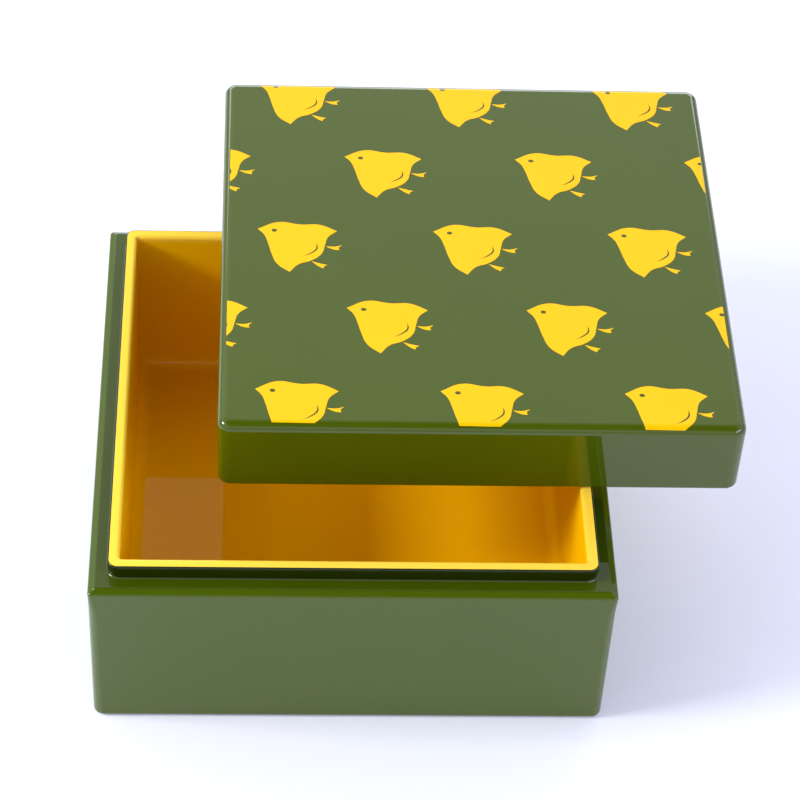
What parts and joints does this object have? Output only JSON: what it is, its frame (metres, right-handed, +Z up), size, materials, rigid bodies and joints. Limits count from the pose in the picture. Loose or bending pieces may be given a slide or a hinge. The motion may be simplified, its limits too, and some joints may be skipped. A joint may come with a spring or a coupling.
{
  "type": "lacquer box",
  "caption": "Small square lacquer box with a raised inner lip and a lift-off lid, which lies askew on the open box",
  "frame": {"origin": "middle of the box's underside, on the surface that it stands on", "axes": "+Z up, +X to the right and +Y to the back; the box's walls run along X and Y"},
  "size_m": [0.1371, 0.138, 0.0631],
  "materials": {
    "green_lacquer": "polished olive green lacquer on wood",
    "yellow_lacquer": "polished yellow lacquer on wood"
  },
  "bodies": {
    "box": {"wall_front": "green_lacquer", "wall_right": "green_lacquer", "wall_back": "green_lacquer", "wall_left": "green_lacquer", "floor_panel": "yellow_lacquer", "liner_front": "yellow_lacquer", "liner_right": "yellow_lacquer", "liner_back": "yellow_lacquer", "liner_left": "yellow_lacquer"},
    "lid": {"lid_panel": "green_lacquer", "lid_rim_front": "green_lacquer", "lid_rim_right": "green_lacquer", "lid_rim_back": "green_lacquer", "lid_rim_left": "green_lacquer"}
  },
  "joints": [
    {"name": "lid_lift", "type": "slide", "parent": "box", "child": "lid", "axis": [0, 0, 1], "range_m": [0, 0.06]}
  ]
}
